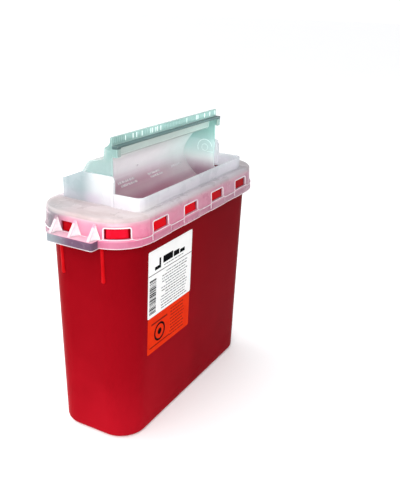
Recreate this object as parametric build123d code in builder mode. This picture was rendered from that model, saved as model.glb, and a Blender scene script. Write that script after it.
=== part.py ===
"""Wall or bench sharps container, 4.7 litre, with a press-fit cover and a
counterbalanced drop door.

Frame: origin at the centre of the bin's base, X along the long side,
-Y is the front (label side, throat side), +Z is up.  Millimetres.
"""
import math
import os

from build123d import *

os.makedirs("parts", exist_ok=True)

# ------------------------------------------------------------------ bin
BIN_BOT = (242.4, 88.5, 27.0)      # length, depth, corner radius at z = 0
BIN_TOP = (258.2, 95.3, 33.8)      # the same at the neck
NECK_Z = 204.0                     # where the wall meets the cover's skirt
SHOULDER_Z = 208.0                 # the rim has reached its full size here
RIM_Z = 228.2                      # top of the rim, under the cover's deck
BIN_WALL = 2.2
BIN_FLOOR = 2.5
BASE_FILLET = 4.0
RIM_LOW = (265.4, 102.7, 35.4)
RIM_HIGH = (264.4, 100.9, 35.0)
BEAD_Y = 22.3                      # stacking beads on both end walls
BEAD_Z = 169.6
BEAD_R = 1.7

# ---------------------------------------------------------------- cover
T = 1.8                            # moulding thickness
DECK_Z = 230.0                     # top of the deck
SKIRT_LOW = (270.6, 107.9, 37.2)   # outer wall of the skirt at NECK_Z
SKIRT_HIGH = (268.8, 105.3, 36.3)  # the same at the deck
BAND_LOW = (273.0, 110.3, 38.4)    # thickened rim of the skirt
BAND_HIGH = (272.4, 109.6, 38.1)
BAND_TOP = 210.8
BLOCK_TOP = 212.3                  # rim is taller below each window
WIN_Z = (212.3, 221.7)             # latch windows
WIN_W = 25.0
WIN_X = (-81.9, -27.3, 27.3, 81.9)
CORNER_W = 22.6
CORNER_A = 36.5                    # corner windows, angle from the long axis
END_WIN_Y, END_WIN_W = 10.3, 12.4
SHOULDER_R = 2.6
LUG_SIDE = 1.5                     # gap left and right of a latch lug
LUG_GAP = 0.7                      # gap above and below it

LEDGE_X, LEDGE_Y = 145.9, 24.8     # end ledges the bracket and fingers reach
LEDGE_TOP = 212.2
GUSSET_Y = (-20.5, 0.0, 20.5)
GUSSET_T = 2.8
GUSSET_TOP = 225.0

COLLAR_X, COLLAR_Y = 101.3, 45.0   # low wall in front of the throat
COLLAR_TOP = 242.2
COLLAR_R = 8.0
TOWER_X = 100.1                    # outer face of the end towers
TOWER_T = 2.0
TOWER_FRONT = -15.6
TOWER_TOP = 257.2
REAR_Y = 41.4                      # outer face of the rear wall
REAR_TOP = 248.6
THROAT_X, THROAT_FRONT = 98.1, -39.0
THROAT_REAR = REAR_Y - T

# ----------------------------------------------------------------- door
PIVOT_Y, PIVOT_Z = 1.5, 247.0
STUD_R = 3.0
STUD_CLEAR = 0.05
BOSS_R = 7.0
BOSS_H = 0.4
CHEEK_X = 97.3                     # outer face of the door's cheeks
CHEEK_T = 1.6
SOCKET_DEPTH = 1.4
DOOR_FRONT = -12.2                 # front edge of the cheeks, door open
LIP_TOP = 291.4

# ---------------------------------------------------------------- label
LABEL_T = 0.25
LABEL_GAP = 0.02
WHITE = (-92.8, -13.2, 122.6, 190.6)     # x0, x1, z0, z1
ORANGE = (-92.2, -14.0, 83.6, 122.2)


def rounded_loft(low, z_low, high, z_high):
    """Two rounded rectangles lofted into a tapered block."""
    with BuildPart(mode=Mode.PRIVATE) as block:
        with BuildSketch(Plane.XY.offset(z_low)):
            RectangleRounded(low[0], low[1], low[2])
        with BuildSketch(Plane.XY.offset(z_high)):
            RectangleRounded(high[0], high[1], high[2])
        loft()
    return block.part


def shrink(size, by):
    return (size[0] - 2 * by, size[1] - 2 * by, size[2] - by)


def mix(low, z_low, high, z_high, z):
    f = (z - z_low) / (z_high - z_low)
    return tuple(a + (b - a) * f for a, b in zip(low, high))


def skirt_at(z):
    return mix(SKIRT_LOW, NECK_Z, SKIRT_HIGH, DECK_Z, z)


# Blocks that stand where the latch windows are, one set for the windows and a
# slightly smaller set for the lugs, so that every lug fills its own window.
corner_c = (SKIRT_LOW[0] / 2 - SKIRT_LOW[2], SKIRT_LOW[1] / 2 - SKIRT_LOW[2])


def window_blocks(side_gap, z_gap, reach):
    z0, z1 = WIN_Z[0] + z_gap, WIN_Z[1] - z_gap
    zc, h = (z0 + z1) / 2, z1 - z0
    with BuildPart(mode=Mode.PRIVATE) as blocks:
        for sy in (-1, 1):
            with Locations(*[(x, sy * (52.5 + reach / 2 - 3.5), zc) for x in WIN_X]):
                Box(WIN_W - 2 * side_gap, reach + 3.0, h)
        for sx in (-1, 1):
            # only the two front corners have a window
            r = 36.0
            c = (sx * (corner_c[0] + r * math.cos(math.radians(CORNER_A))),
                 -(corner_c[1] + r * math.sin(math.radians(CORNER_A))), zc)
            with Locations(Location(c, (0, 0, -CORNER_A * sx))):
                Box(reach + 6.0, CORNER_W - 2 * side_gap, h)
            with Locations((sx * 134.0, END_WIN_Y, zc)):
                Box(reach + 3.0, END_WIN_W - 2 * side_gap, h)
    return blocks.part


windows = window_blocks(0.0, 0.0, 8.0)
lug_blocks = window_blocks(LUG_SIDE, LUG_GAP, 8.0)

# The lugs follow the skirt's own curve, 0.35 mm inside its outer face.
lug_shell = (rounded_loft(shrink(skirt_at(WIN_Z[0]), 0.35), WIN_Z[0],
                          shrink(skirt_at(WIN_Z[1]), 0.35), WIN_Z[1])
             - rounded_loft(shrink(RIM_HIGH, 0.9), WIN_Z[0] - 1,
                            shrink(RIM_HIGH, 0.9), WIN_Z[1] + 1))
lugs = lug_shell & lug_blocks

# ================================================================== bin
with BuildPart() as bin_body:
    add(rounded_loft(BIN_BOT, 0, BIN_TOP, NECK_Z))
    fillet(bin_body.faces().sort_by(Axis.Z)[0].edges(), BASE_FILLET)
    add(rounded_loft(BIN_TOP, NECK_Z, RIM_LOW, SHOULDER_Z))
    add(rounded_loft(RIM_LOW, SHOULDER_Z, RIM_HIGH, RIM_Z))
    add(lugs)
    # stacking beads, a half-round rib that fades into the corner of each end
    lean = (BIN_TOP[0] - BIN_BOT[0]) / 2 / NECK_Z
    for sx in (-1, 1):
        for sy in (-1, 1):
            x_low = BIN_BOT[0] / 2 + lean * BEAD_Z - 1.05 - 0.55
            foot = Plane(origin=(sx * x_low, sy * BEAD_Y, BEAD_Z),
                         x_dir=(0, 1, 0), z_dir=(sx * lean, 0, 1))
            with BuildSketch(foot):
                Circle(BEAD_R)
            extrude(amount=37.0)
            with Locations((sx * x_low, sy * BEAD_Y, BEAD_Z)):
                Sphere(BEAD_R)
    # hollow
    low = mix(BIN_BOT, 0, BIN_TOP, NECK_Z, BIN_FLOOR)
    add(rounded_loft(shrink(low, BIN_WALL), BIN_FLOOR,
                     shrink(BIN_TOP, BIN_WALL), NECK_Z), mode=Mode.SUBTRACT)
    add(rounded_loft(shrink(BIN_TOP, BIN_WALL), NECK_Z,
                     shrink(RIM_LOW, BIN_WALL), SHOULDER_Z), mode=Mode.SUBTRACT)
    add(rounded_loft(shrink(RIM_LOW, BIN_WALL), SHOULDER_Z,
                     shrink(RIM_HIGH, BIN_WALL), RIM_Z), mode=Mode.SUBTRACT)
bin_body.part.label = "bin"
export_step(bin_body.part, "parts/bin.step")

# ================================================================ cover
tall_band = rounded_loft(BAND_LOW, NECK_Z, BAND_HIGH, BLOCK_TOP)
with BuildPart() as band_blocks:
    zc = (NECK_Z + BLOCK_TOP) / 2
    for sy in (-1, 1):
        with Locations(*[(x, sy * 50, zc) for x in WIN_X]):
            Box(WIN_W + 5.0, 30, BLOCK_TOP - NECK_Z)
    for sx in (-1, 1):
        with Locations((sx * 128, -41, zc)):
            Box(34, 36, BLOCK_TOP - NECK_Z)
band_bumps = tall_band & band_blocks.part
# the blocks stand a little prouder than the band between them
proud = rounded_loft((273.0, 110.3, 38.4), NECK_Z, (272.6, 109.9, 38.2), BLOCK_TOP)

with BuildPart() as lid_cover:
    # skirt and deck
    add(rounded_loft(SKIRT_LOW, NECK_Z, SKIRT_HIGH, DECK_Z))
    fillet(lid_cover.faces().sort_by(Axis.Z)[-1].edges(), SHOULDER_R)
    # thick rim
    add(rounded_loft(shrink(BAND_LOW, 0.45), NECK_Z, shrink(BAND_HIGH, 0.45), BAND_TOP))
    add(band_bumps)
    # end ledges
    for sx in (-1, 1):
        with BuildSketch(Plane.XY.offset(NECK_Z)):
            with Locations((sx * (LEDGE_X + 126) / 2, 0)):
                RectangleRounded(LEDGE_X - 126, 2 * LEDGE_Y, 2.4)
        extrude(amount=LEDGE_TOP - NECK_Z)
    # inside of the skirt, up to the underside of the deck
    add(rounded_loft(shrink(SKIRT_LOW, T), NECK_Z,
                     shrink(skirt_at(RIM_Z), T), RIM_Z), mode=Mode.SUBTRACT)
    # pocket below each ledge
    for sx in (-1, 1):
        with BuildSketch(Plane.XY.offset(NECK_Z)):
            with Locations((sx * (LEDGE_X - T - 3.85), 0)):
                RectangleRounded(7.7, 2 * (LEDGE_Y - T), 1.2)
        extrude(amount=LEDGE_TOP - T - NECK_Z, mode=Mode.SUBTRACT)
    # gussets above each ledge
    for sx in (-1, 1):
        for gy in GUSSET_Y:
            with BuildSketch(Plane.XZ.offset(-gy - GUSSET_T / 2)):
                with BuildLine():
                    Polyline((sx * 133.6, LEDGE_TOP - 0.5), (sx * (LEDGE_X - 0.5), LEDGE_TOP - 0.5),
                             (sx * (LEDGE_X - 0.5), LEDGE_TOP + 0.2), (sx * 135.2, GUSSET_TOP),
                             (sx * 133.6, GUSSET_TOP), close=True)
                make_face()
            extrude(amount=GUSSET_T)
    # latch windows
    add(windows, mode=Mode.SUBTRACT)
    # collar: a low U-shaped wall with a small foot, open towards the towers
    for x, y, r, top in ((COLLAR_X + 1.3, COLLAR_Y + 1.3, COLLAR_R + 1.3, DECK_Z + 1.0),
                         (COLLAR_X, COLLAR_Y, COLLAR_R, COLLAR_TOP)):
        with BuildSketch(Plane.XY.offset(RIM_Z + 0.4)):
            with BuildLine():
                Line((-x, TOWER_FRONT + 1), (-x, -y + r))
                RadiusArc((-x, -y + r), (-x + r, -y), -r)
                Line((-x + r, -y), (x - r, -y))
                RadiusArc((x - r, -y), (x, -y + r), -r)
                Line((x, -y + r), (x, TOWER_FRONT + 1))
                Line((x, TOWER_FRONT + 1), (-x, TOWER_FRONT + 1))
            make_face()
        extrude(amount=top - RIM_Z - 0.4)
    # room inside the collar
    with BuildSketch(Plane.XY.offset(DECK_Z)):
        with BuildLine():
            x, y, r = COLLAR_X - T, COLLAR_Y - T, COLLAR_R - T
            Line((-x, TOWER_FRONT + 2), (-x, -y + r))
            RadiusArc((-x, -y + r), (-x + r, -y), -r)
            Line((-x + r, -y), (x - r, -y))
            RadiusArc((x - r, -y), (x, -y + r), -r)
            Line((x, -y + r), (x, TOWER_FRONT + 2))
            Line((x, TOWER_FRONT + 2), (-x, TOWER_FRONT + 2))
        make_face()
    extrude(amount=40, mode=Mode.SUBTRACT)
    # towers, one at each end of the throat
    for sx in (-1, 1):
        x_in = sx * (TOWER_X - TOWER_T)
        start = Plane.YZ.offset(min(x_in, sx * TOWER_X))
        with BuildSketch(start):
            with BuildLine():
                Polyline((TOWER_FRONT, RIM_Z + 0.4), (TOWER_FRONT, TOWER_TOP - 3.0),
                         (TOWER_FRONT + 0.9, TOWER_TOP - 0.9), (TOWER_FRONT + 3.0, TOWER_TOP),
                         (18.6, TOWER_TOP), (19.4, TOWER_TOP - 1.0), (21.0, TOWER_TOP - 0.1),
                         (39.4, REAR_TOP + 0.6), (REAR_Y, REAR_TOP - 0.4),
                         (REAR_Y, RIM_Z + 0.4), close=True)
            make_face()
        extrude(amount=TOWER_T)
        # front edge of the tower is a stiffening post
        with BuildSketch(Plane.XY.offset(RIM_Z + 0.4)):
            with Locations((sx * (TOWER_X + 0.45), TOWER_FRONT + 1.1)):
                Rectangle(2.9, 2.2)
        extrude(amount=TOWER_TOP - 5.0 - RIM_Z)
        # thrust ring round the door's stud, on the inner face
        with BuildSketch(Plane.YZ.offset(x_in if sx < 0 else x_in - BOSS_H)):
            with Locations((PIVOT_Y, PIVOT_Z)):
                Circle(BOSS_R)
        extrude(amount=BOSS_H)
    # rear wall between the towers
    with BuildSketch(Plane.XY.offset(RIM_Z + 0.4)):
        with Locations((0, REAR_Y - T / 2)):
            Rectangle(2 * TOWER_X, T)
    extrude(amount=REAR_TOP - RIM_Z - 0.4)
    # throat through the deck
    with BuildSketch(Plane.XY.offset(RIM_Z - 1)):
        with Locations((0, (THROAT_FRONT + THROAT_REAR) / 2)):
            Rectangle(2 * THROAT_X, THROAT_REAR - THROAT_FRONT)
    extrude(amount=3.0, mode=Mode.SUBTRACT)
    # blind sockets for the studs
    for sx in (-1, 1):
        x0 = sx * (TOWER_X - TOWER_T - BOSS_H)
        deep = SOCKET_DEPTH + BOSS_H
        with BuildSketch(Plane.YZ.offset(x0 if sx > 0 else x0 - deep)):
            with Locations((PIVOT_Y, PIVOT_Z)):
                Circle(STUD_R + STUD_CLEAR)
        extrude(amount=deep, mode=Mode.SUBTRACT)
lid_cover.part.label = "lid_cover"
export_step(lid_cover.part, "parts/lid_cover.step")

# ================================================================= door
# Section of the door, drawn open: lip at the top, sloping panel, step, round
# back and a tray that runs forward under the front of the deck.
BACK = [(-10.4, LIP_TOP), (-9.8, 286.6), (-7.9, 283.9), (-4.6, 281.9), (-3.5, 280.4),
        (-2.7, 272.2), (-1.2, 270.6), (5.3, 269.1), (13.2, 267.6), (15.2, 265.8), (22.4, 255.6)]
BACK_CURVE = [(22.4, 255.6), (27.2, 247.2), (28.9, 240.0), (27.6, 232.4), (24.2, 225.6),
              (17.2, 218.0), (10.4, 212.6), (1.0, 210.6), (-9.6, 211.6), (-20.4, 215.0)]
TRAY_END = (-39.6, 226.0)
FRONT = [(-12.2, LIP_TOP), (-12.2, 284.2), (-17.6, 284.2), (-18.2, 283.4), (-17.6, 282.2),
         (-8.2, 282.2), (-6.2, 281.0), (-5.2, 279.4), (-4.4, 271.4), (-2.2, 269.0),
         (4.9, 267.4), (12.3, 266.0), (13.6, 264.8), (20.4, 255.0)]
FRONT_CURVE = [(20.4, 255.0), (25.0, 246.8), (26.7, 240.0), (25.5, 233.2), (22.4, 227.0),
               (15.8, 219.8), (9.6, 214.6), (0.8, 212.4), (-9.2, 213.3), (-19.7, 216.5)]
TRAY_END_TOP = (-38.8, 227.5)

with BuildPart() as drop_door:
    with BuildSketch(Plane.YZ.offset(-CHEEK_X)):
        with BuildLine():
            Polyline(*BACK)
            Spline(*BACK_CURVE)
            Line(BACK_CURVE[-1], TRAY_END)
            Line(TRAY_END, TRAY_END_TOP)
            Line(TRAY_END_TOP, FRONT_CURVE[-1])
            Spline(*FRONT_CURVE[::-1])
            Polyline(*FRONT[::-1])
            Line(FRONT[0], BACK[0])
        make_face()
    extrude(amount=2 * CHEEK_X)
    # end cheeks
    for sx in (-1, 1):
        with BuildSketch(Plane.YZ.offset(-CHEEK_X if sx < 0 else CHEEK_X - CHEEK_T)):
            with BuildLine():
                Polyline((DOOR_FRONT, 283.4), (-8.2, 283.2), (-5.2, 281.4), (-4.3, 280.0),
                         (-3.5, 271.8), (-1.7, 269.8), (5.1, 268.2), (12.8, 266.8),
                         (14.4, 265.3), (21.4, 255.3))
                Spline((21.4, 255.3), (26.1, 247.0), (27.8, 240.0), (26.5, 232.8),
                       (23.3, 226.3), (16.5, 218.9), (10.0, 213.6), (0.9, 211.5),
                       (-9.4, 212.5), (-20.0, 215.8))
                Line((-20.0, 215.8), (-37.6, 225.9))
                Line((-37.6, 225.9), (-16.0, 226.2))
                RadiusArc((-16.0, 226.2), (DOOR_FRONT, 230.0), -3.8)
                Line((DOOR_FRONT, 230.0), (DOOR_FRONT, 283.4))
            make_face()
        extrude(amount=CHEEK_T)
        # pivot stud
        with BuildSketch(Plane.YZ.offset(CHEEK_X - 0.2 if sx > 0 else -CHEEK_X - 2.0)):
            with Locations((PIVOT_Y, PIVOT_Z)):
                Circle(STUD_R)
        extrude(amount=2.2)
        # lock tab at each end of the ledge
        with Locations((sx * (CHEEK_X - 3.0), -16.9, 278.4)):
            Box(6.0, 1.4, 8.8)
        with Locations((sx * (CHEEK_X - 0.8), -14.8, 278.4)):
            Box(1.6, 5.4, 8.8)
drop_door.part.label = "drop_door"
export_step(drop_door.part, "parts/drop_door.step")

# =============================================================== labels
tilt = math.atan((BIN_TOP[1] - BIN_BOT[1]) / 2 / NECK_Z)


def label_plane(z):
    y = -(BIN_BOT[1] / 2 + (BIN_TOP[1] - BIN_BOT[1]) / 2 * z / NECK_Z)
    out = (0, -math.cos(tilt), -math.sin(tilt))
    return Plane(origin=(0, y + LABEL_GAP * out[1], z + LABEL_GAP * out[2]),
                 x_dir=(1, 0, 0), z_dir=out)


with BuildPart() as label_white:
    with BuildSketch(label_plane((WHITE[2] + WHITE[3]) / 2)):
        with Locations(((WHITE[0] + WHITE[1]) / 2, 0)):
            RectangleRounded(WHITE[1] - WHITE[0], (WHITE[3] - WHITE[2]) / math.cos(tilt), 1.6)
    extrude(amount=LABEL_T)
label_white.part.label = "label_white"
export_step(label_white.part, "parts/label_white.step")

with BuildPart() as label_orange:
    with BuildSketch(label_plane((ORANGE[2] + ORANGE[3]) / 2)):
        with Locations(((ORANGE[0] + ORANGE[1]) / 2, 0)):
            RectangleRounded(ORANGE[1] - ORANGE[0], (ORANGE[3] - ORANGE[2]) / math.cos(tilt), 1.6)
    extrude(amount=LABEL_T)
label_orange.part.label = "label_orange"
export_step(label_orange.part, "parts/label_orange.step")
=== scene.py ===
import math
import random

import bmesh
import bpy
from mathutils import Matrix, Vector


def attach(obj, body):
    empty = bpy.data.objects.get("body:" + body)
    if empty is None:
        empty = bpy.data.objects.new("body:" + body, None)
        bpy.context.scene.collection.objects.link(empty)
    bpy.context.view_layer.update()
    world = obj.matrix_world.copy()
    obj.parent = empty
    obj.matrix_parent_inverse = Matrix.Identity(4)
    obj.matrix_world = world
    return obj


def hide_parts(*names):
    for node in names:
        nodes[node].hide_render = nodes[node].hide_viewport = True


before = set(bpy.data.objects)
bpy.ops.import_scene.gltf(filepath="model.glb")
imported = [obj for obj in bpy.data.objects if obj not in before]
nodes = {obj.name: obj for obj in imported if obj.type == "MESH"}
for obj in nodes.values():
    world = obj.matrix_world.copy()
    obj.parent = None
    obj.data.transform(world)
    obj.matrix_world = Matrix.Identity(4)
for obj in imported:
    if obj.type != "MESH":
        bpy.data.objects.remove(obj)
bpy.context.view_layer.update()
scene = bpy.context.scene
MM = 0.001


# ----------------------------------------------------------------- helpers
def new_mesh_object(name, verts, faces, material=None, smooth=True):
    me = bpy.data.meshes.new(name)
    me.from_pydata([tuple(v) for v in verts], [], faces)
    me.validate()
    me.update()
    ob = bpy.data.objects.new(name, me)
    scene.collection.objects.link(ob)
    if material is not None:
        me.materials.append(material)
    if smooth:
        for p in me.polygons:
            p.use_smooth = True
    return ob


def outward(ob):
    bm = bmesh.new()
    bm.from_mesh(ob.data)
    bmesh.ops.recalc_face_normals(bm, faces=bm.faces)
    bm.to_mesh(ob.data)
    bm.free()


def bevel(ob, width, segments=2, angle=30, material=-1, harden=True):
    m = ob.modifiers.new("edge_round", "BEVEL")
    m.width = width
    m.segments = segments
    m.limit_method = "ANGLE"
    m.angle_limit = math.radians(angle)
    m.harden_normals = harden
    m.miter_outer = "MITER_ARC"
    m.use_clamp_overlap = True
    m.material = material
    return m


def mix_size(a, b, f):
    return tuple(p + (q - p) * f for p, q in zip(a, b))


def shrink(size, t):
    return (size[0] - 2 * t, size[1] - 2 * t, size[2] - t)


ARC = 16


def ring(size, z, n_long=14, n_short=6):
    """Rounded rectangle (length, depth, corner radius) at height z, in mm, as a
    closed loop of points. Every ring has the same count, so rings loft to quads."""
    L, D, r = size
    r = max(r, 0.2)
    a, b = L / 2, D / 2
    pts = []
    corners = [(a - r, b - r, 0), (-(a - r), b - r, 90), (-(a - r), -(b - r), 180), (a - r, -(b - r), 270)]
    straight = [n_long, n_short, n_long, n_short]
    for k, (cx, cy, a0) in enumerate(corners):
        for i in range(ARC + 1):
            t = math.radians(a0 + 90.0 * i / ARC)
            pts.append((cx + r * math.cos(t), cy + r * math.sin(t), z))
        nx, ny, _ = corners[(k + 1) % 4]
        t = math.radians(a0 + 90)
        x0, y0 = cx + r * math.cos(t), cy + r * math.sin(t)
        x1, y1 = nx + r * math.cos(t), ny + r * math.sin(t)
        for i in range(1, straight[k]):
            f = i / straight[k]
            pts.append((x0 + (x1 - x0) * f, y0 + (y1 - y0) * f, z))
    return pts


def loft(name, rings, cap_first=True, cap_last=True, closed=False, material=None):
    """Quad skin through the rings."""
    n = len(rings[0])
    verts = [Vector(p) * MM for r in rings for p in r]
    faces = []
    m = len(rings)
    for j in range(m if closed else m - 1):
        for i in range(n):
            a, b = j * n + i, j * n + (i + 1) % n
            c, d = ((j + 1) % m) * n + (i + 1) % n, ((j + 1) % m) * n + i
            faces.append((a, b, c, d))
    if not closed:
        if cap_first:
            faces.append(tuple(range(n))[::-1])
        if cap_last:
            faces.append(tuple((m - 1) * n + i for i in range(n)))
    ob = new_mesh_object(name, verts, faces, material)
    outward(ob)
    return ob


# --------------------------------------------------------------- materials
def material(name):
    m = bpy.data.materials.new(name)
    m.use_nodes = True
    nt = m.node_tree
    nt.nodes.clear()
    out = nt.nodes.new("ShaderNodeOutputMaterial")
    p = nt.nodes.new("ShaderNodeBsdfPrincipled")
    nt.links.new(p.outputs[0], out.inputs[0])
    return m, nt, p


def coords(nt):
    return nt.nodes.new("ShaderNodeTexCoord").outputs["Object"]


def noise(nt, vec, scale, detail=3.0, rough=0.5, stretch=None):
    if stretch is not None:
        mp = nt.nodes.new("ShaderNodeMapping")
        mp.inputs["Scale"].default_value = stretch
        nt.links.new(vec, mp.inputs["Vector"])
        vec = mp.outputs[0]
    n = nt.nodes.new("ShaderNodeTexNoise")
    n.inputs["Scale"].default_value = scale
    n.inputs["Detail"].default_value = detail
    n.inputs["Roughness"].default_value = rough
    nt.links.new(vec, n.inputs["Vector"])
    return n.outputs["Fac"]


def ramp(nt, fac, stops):
    r = nt.nodes.new("ShaderNodeValToRGB")
    els = r.color_ramp.elements
    while len(els) > 1:
        els.remove(els[-1])
    els[0].position, els[0].color = stops[0][0], stops[0][1]
    for pos, col in stops[1:]:
        e = els.new(pos)
        e.color = col
    nt.links.new(fac, r.inputs[0])
    return r.outputs[0]


def map_range(nt, fac, a, b, c, d, smooth=False):
    r = nt.nodes.new("ShaderNodeMapRange")
    if smooth:
        r.interpolation_type = "SMOOTHSTEP"
    for i, v in ((1, a), (2, b), (3, c), (4, d)):
        r.inputs[i].default_value = v
    nt.links.new(fac, r.inputs[0])
    return r.outputs[0]


def math_node(nt, op, a, b=None):
    n = nt.nodes.new("ShaderNodeMath")
    n.operation = op
    for i, v in enumerate((a, b)):
        if v is None:
            continue
        if isinstance(v, (int, float)):
            n.inputs[i].default_value = v
        else:
            nt.links.new(v, n.inputs[i])
    return n.outputs[0]


def mix_color(nt, fac, a, b, blend="MIX"):
    n = nt.nodes.new("ShaderNodeMix")
    n.data_type = "RGBA"
    n.blend_type = blend
    for sock, v in ((n.inputs[0], fac), (n.inputs[6], a), (n.inputs[7], b)):
        if isinstance(v, (int, float)):
            sock.default_value = v
        elif isinstance(v, tuple):
            sock.default_value = v
        else:
            nt.links.new(v, sock)
    return n.outputs[2]


def bump(nt, p, height, strength, distance):
    b = nt.nodes.new("ShaderNodeBump")
    b.inputs["Strength"].default_value = strength
    b.inputs["Distance"].default_value = distance
    nt.links.new(height, b.inputs["Height"])
    nt.links.new(b.outputs[0], p.inputs["Normal"])


def split(nt, vec):
    s = nt.nodes.new("ShaderNodeSeparateXYZ")
    nt.links.new(vec, s.inputs[0])
    return s.outputs


def rgba(r, g, b, a=1.0):
    return (r, g, b, a)


def mul(nt, a, b):
    return math_node(nt, "MULTIPLY", a, b)


def add2(nt, a, b):
    return math_node(nt, "ADD", a, b)


def band(nt, value, lo, hi, soft):
    """1 between lo and hi, fading to 0 over soft on each side."""
    up = map_range(nt, value, lo - soft, lo + soft, 0.0, 1.0, smooth=True)
    down = map_range(nt, value, hi - soft, hi + soft, 1.0, 0.0, smooth=True)
    return mul(nt, up, down)


def milky(m, nt, p, base, alpha, through):
    """Turn the material into a light-scattering film: part of the light goes through
    the wall as diffuse light, and alpha is how much of what lies behind is hidden."""
    out = [n for n in nt.nodes if n.type == "OUTPUT_MATERIAL"][0]
    glow = nt.nodes.new("ShaderNodeBsdfTranslucent")
    nt.links.new(base, glow.inputs["Color"])
    body = nt.nodes.new("ShaderNodeMixShader")
    body.inputs[0].default_value = through
    nt.links.new(p.outputs[0], body.inputs[1])
    nt.links.new(glow.outputs[0], body.inputs[2])
    clear = nt.nodes.new("ShaderNodeBsdfTransparent")
    whole = nt.nodes.new("ShaderNodeMixShader")
    nt.links.new(alpha, whole.inputs[0])
    nt.links.new(clear.outputs[0], whole.inputs[1])
    nt.links.new(body.outputs[0], whole.inputs[2])
    nt.links.new(whole.outputs[0], out.inputs[0])


def red_plastic():
    m, nt, p = material("red_polypropylene")
    v = coords(nt)
    x, y, z = split(nt, v)
    mottle = noise(nt, v, 14.0, 4.0, 0.55)
    flow = noise(nt, v, 9.0, 3.0, 0.5, stretch=(1.0, 1.0, 0.18))
    # painted shade and light: the tone darkens towards the top of the walls and stays lighter low down, where the floor
    # throws light back
    height = map_range(nt, z, 0.0, 0.22, 0.0, 1.0)
    tone = add2(nt, mul(nt, mottle, 0.30), mul(nt, flow, 0.30))
    tone = add2(nt, tone, mul(nt, height, 0.40))
    col = ramp(nt, tone, [(0.15, rgba(0.48, 0.0075, 0.018)), (0.45, rgba(0.28, 0.0030, 0.008)), (0.85, rgba(0.17, 0.0008, 0.003))])
    # less light reaches the far half of the long walls
    shade = map_range(nt, x, -0.11, 0.12, 0.0, 0.42, smooth=True)
    col = mix_color(nt, shade, col, rgba(0.13, 0.0020, 0.008))
    nt.links.new(col, p.inputs["Base Color"])
    fine = noise(nt, v, 900.0, 2.0, 0.5)
    rough = map_range(nt, add2(nt, mul(nt, mottle, 0.7), mul(nt, fine, 0.3)), 0.3, 0.7, 0.16, 0.28)
    nt.links.new(rough, p.inputs["Roughness"])
    p.inputs["IOR"].default_value = 1.49
    p.inputs["Specular IOR Level"].default_value = 0.004
    waves = noise(nt, v, 38.0, 2.0, 0.4)
    bump(nt, p, add2(nt, waves, mul(nt, fine, 0.06)), 0.12, 0.002)
    return m


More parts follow.
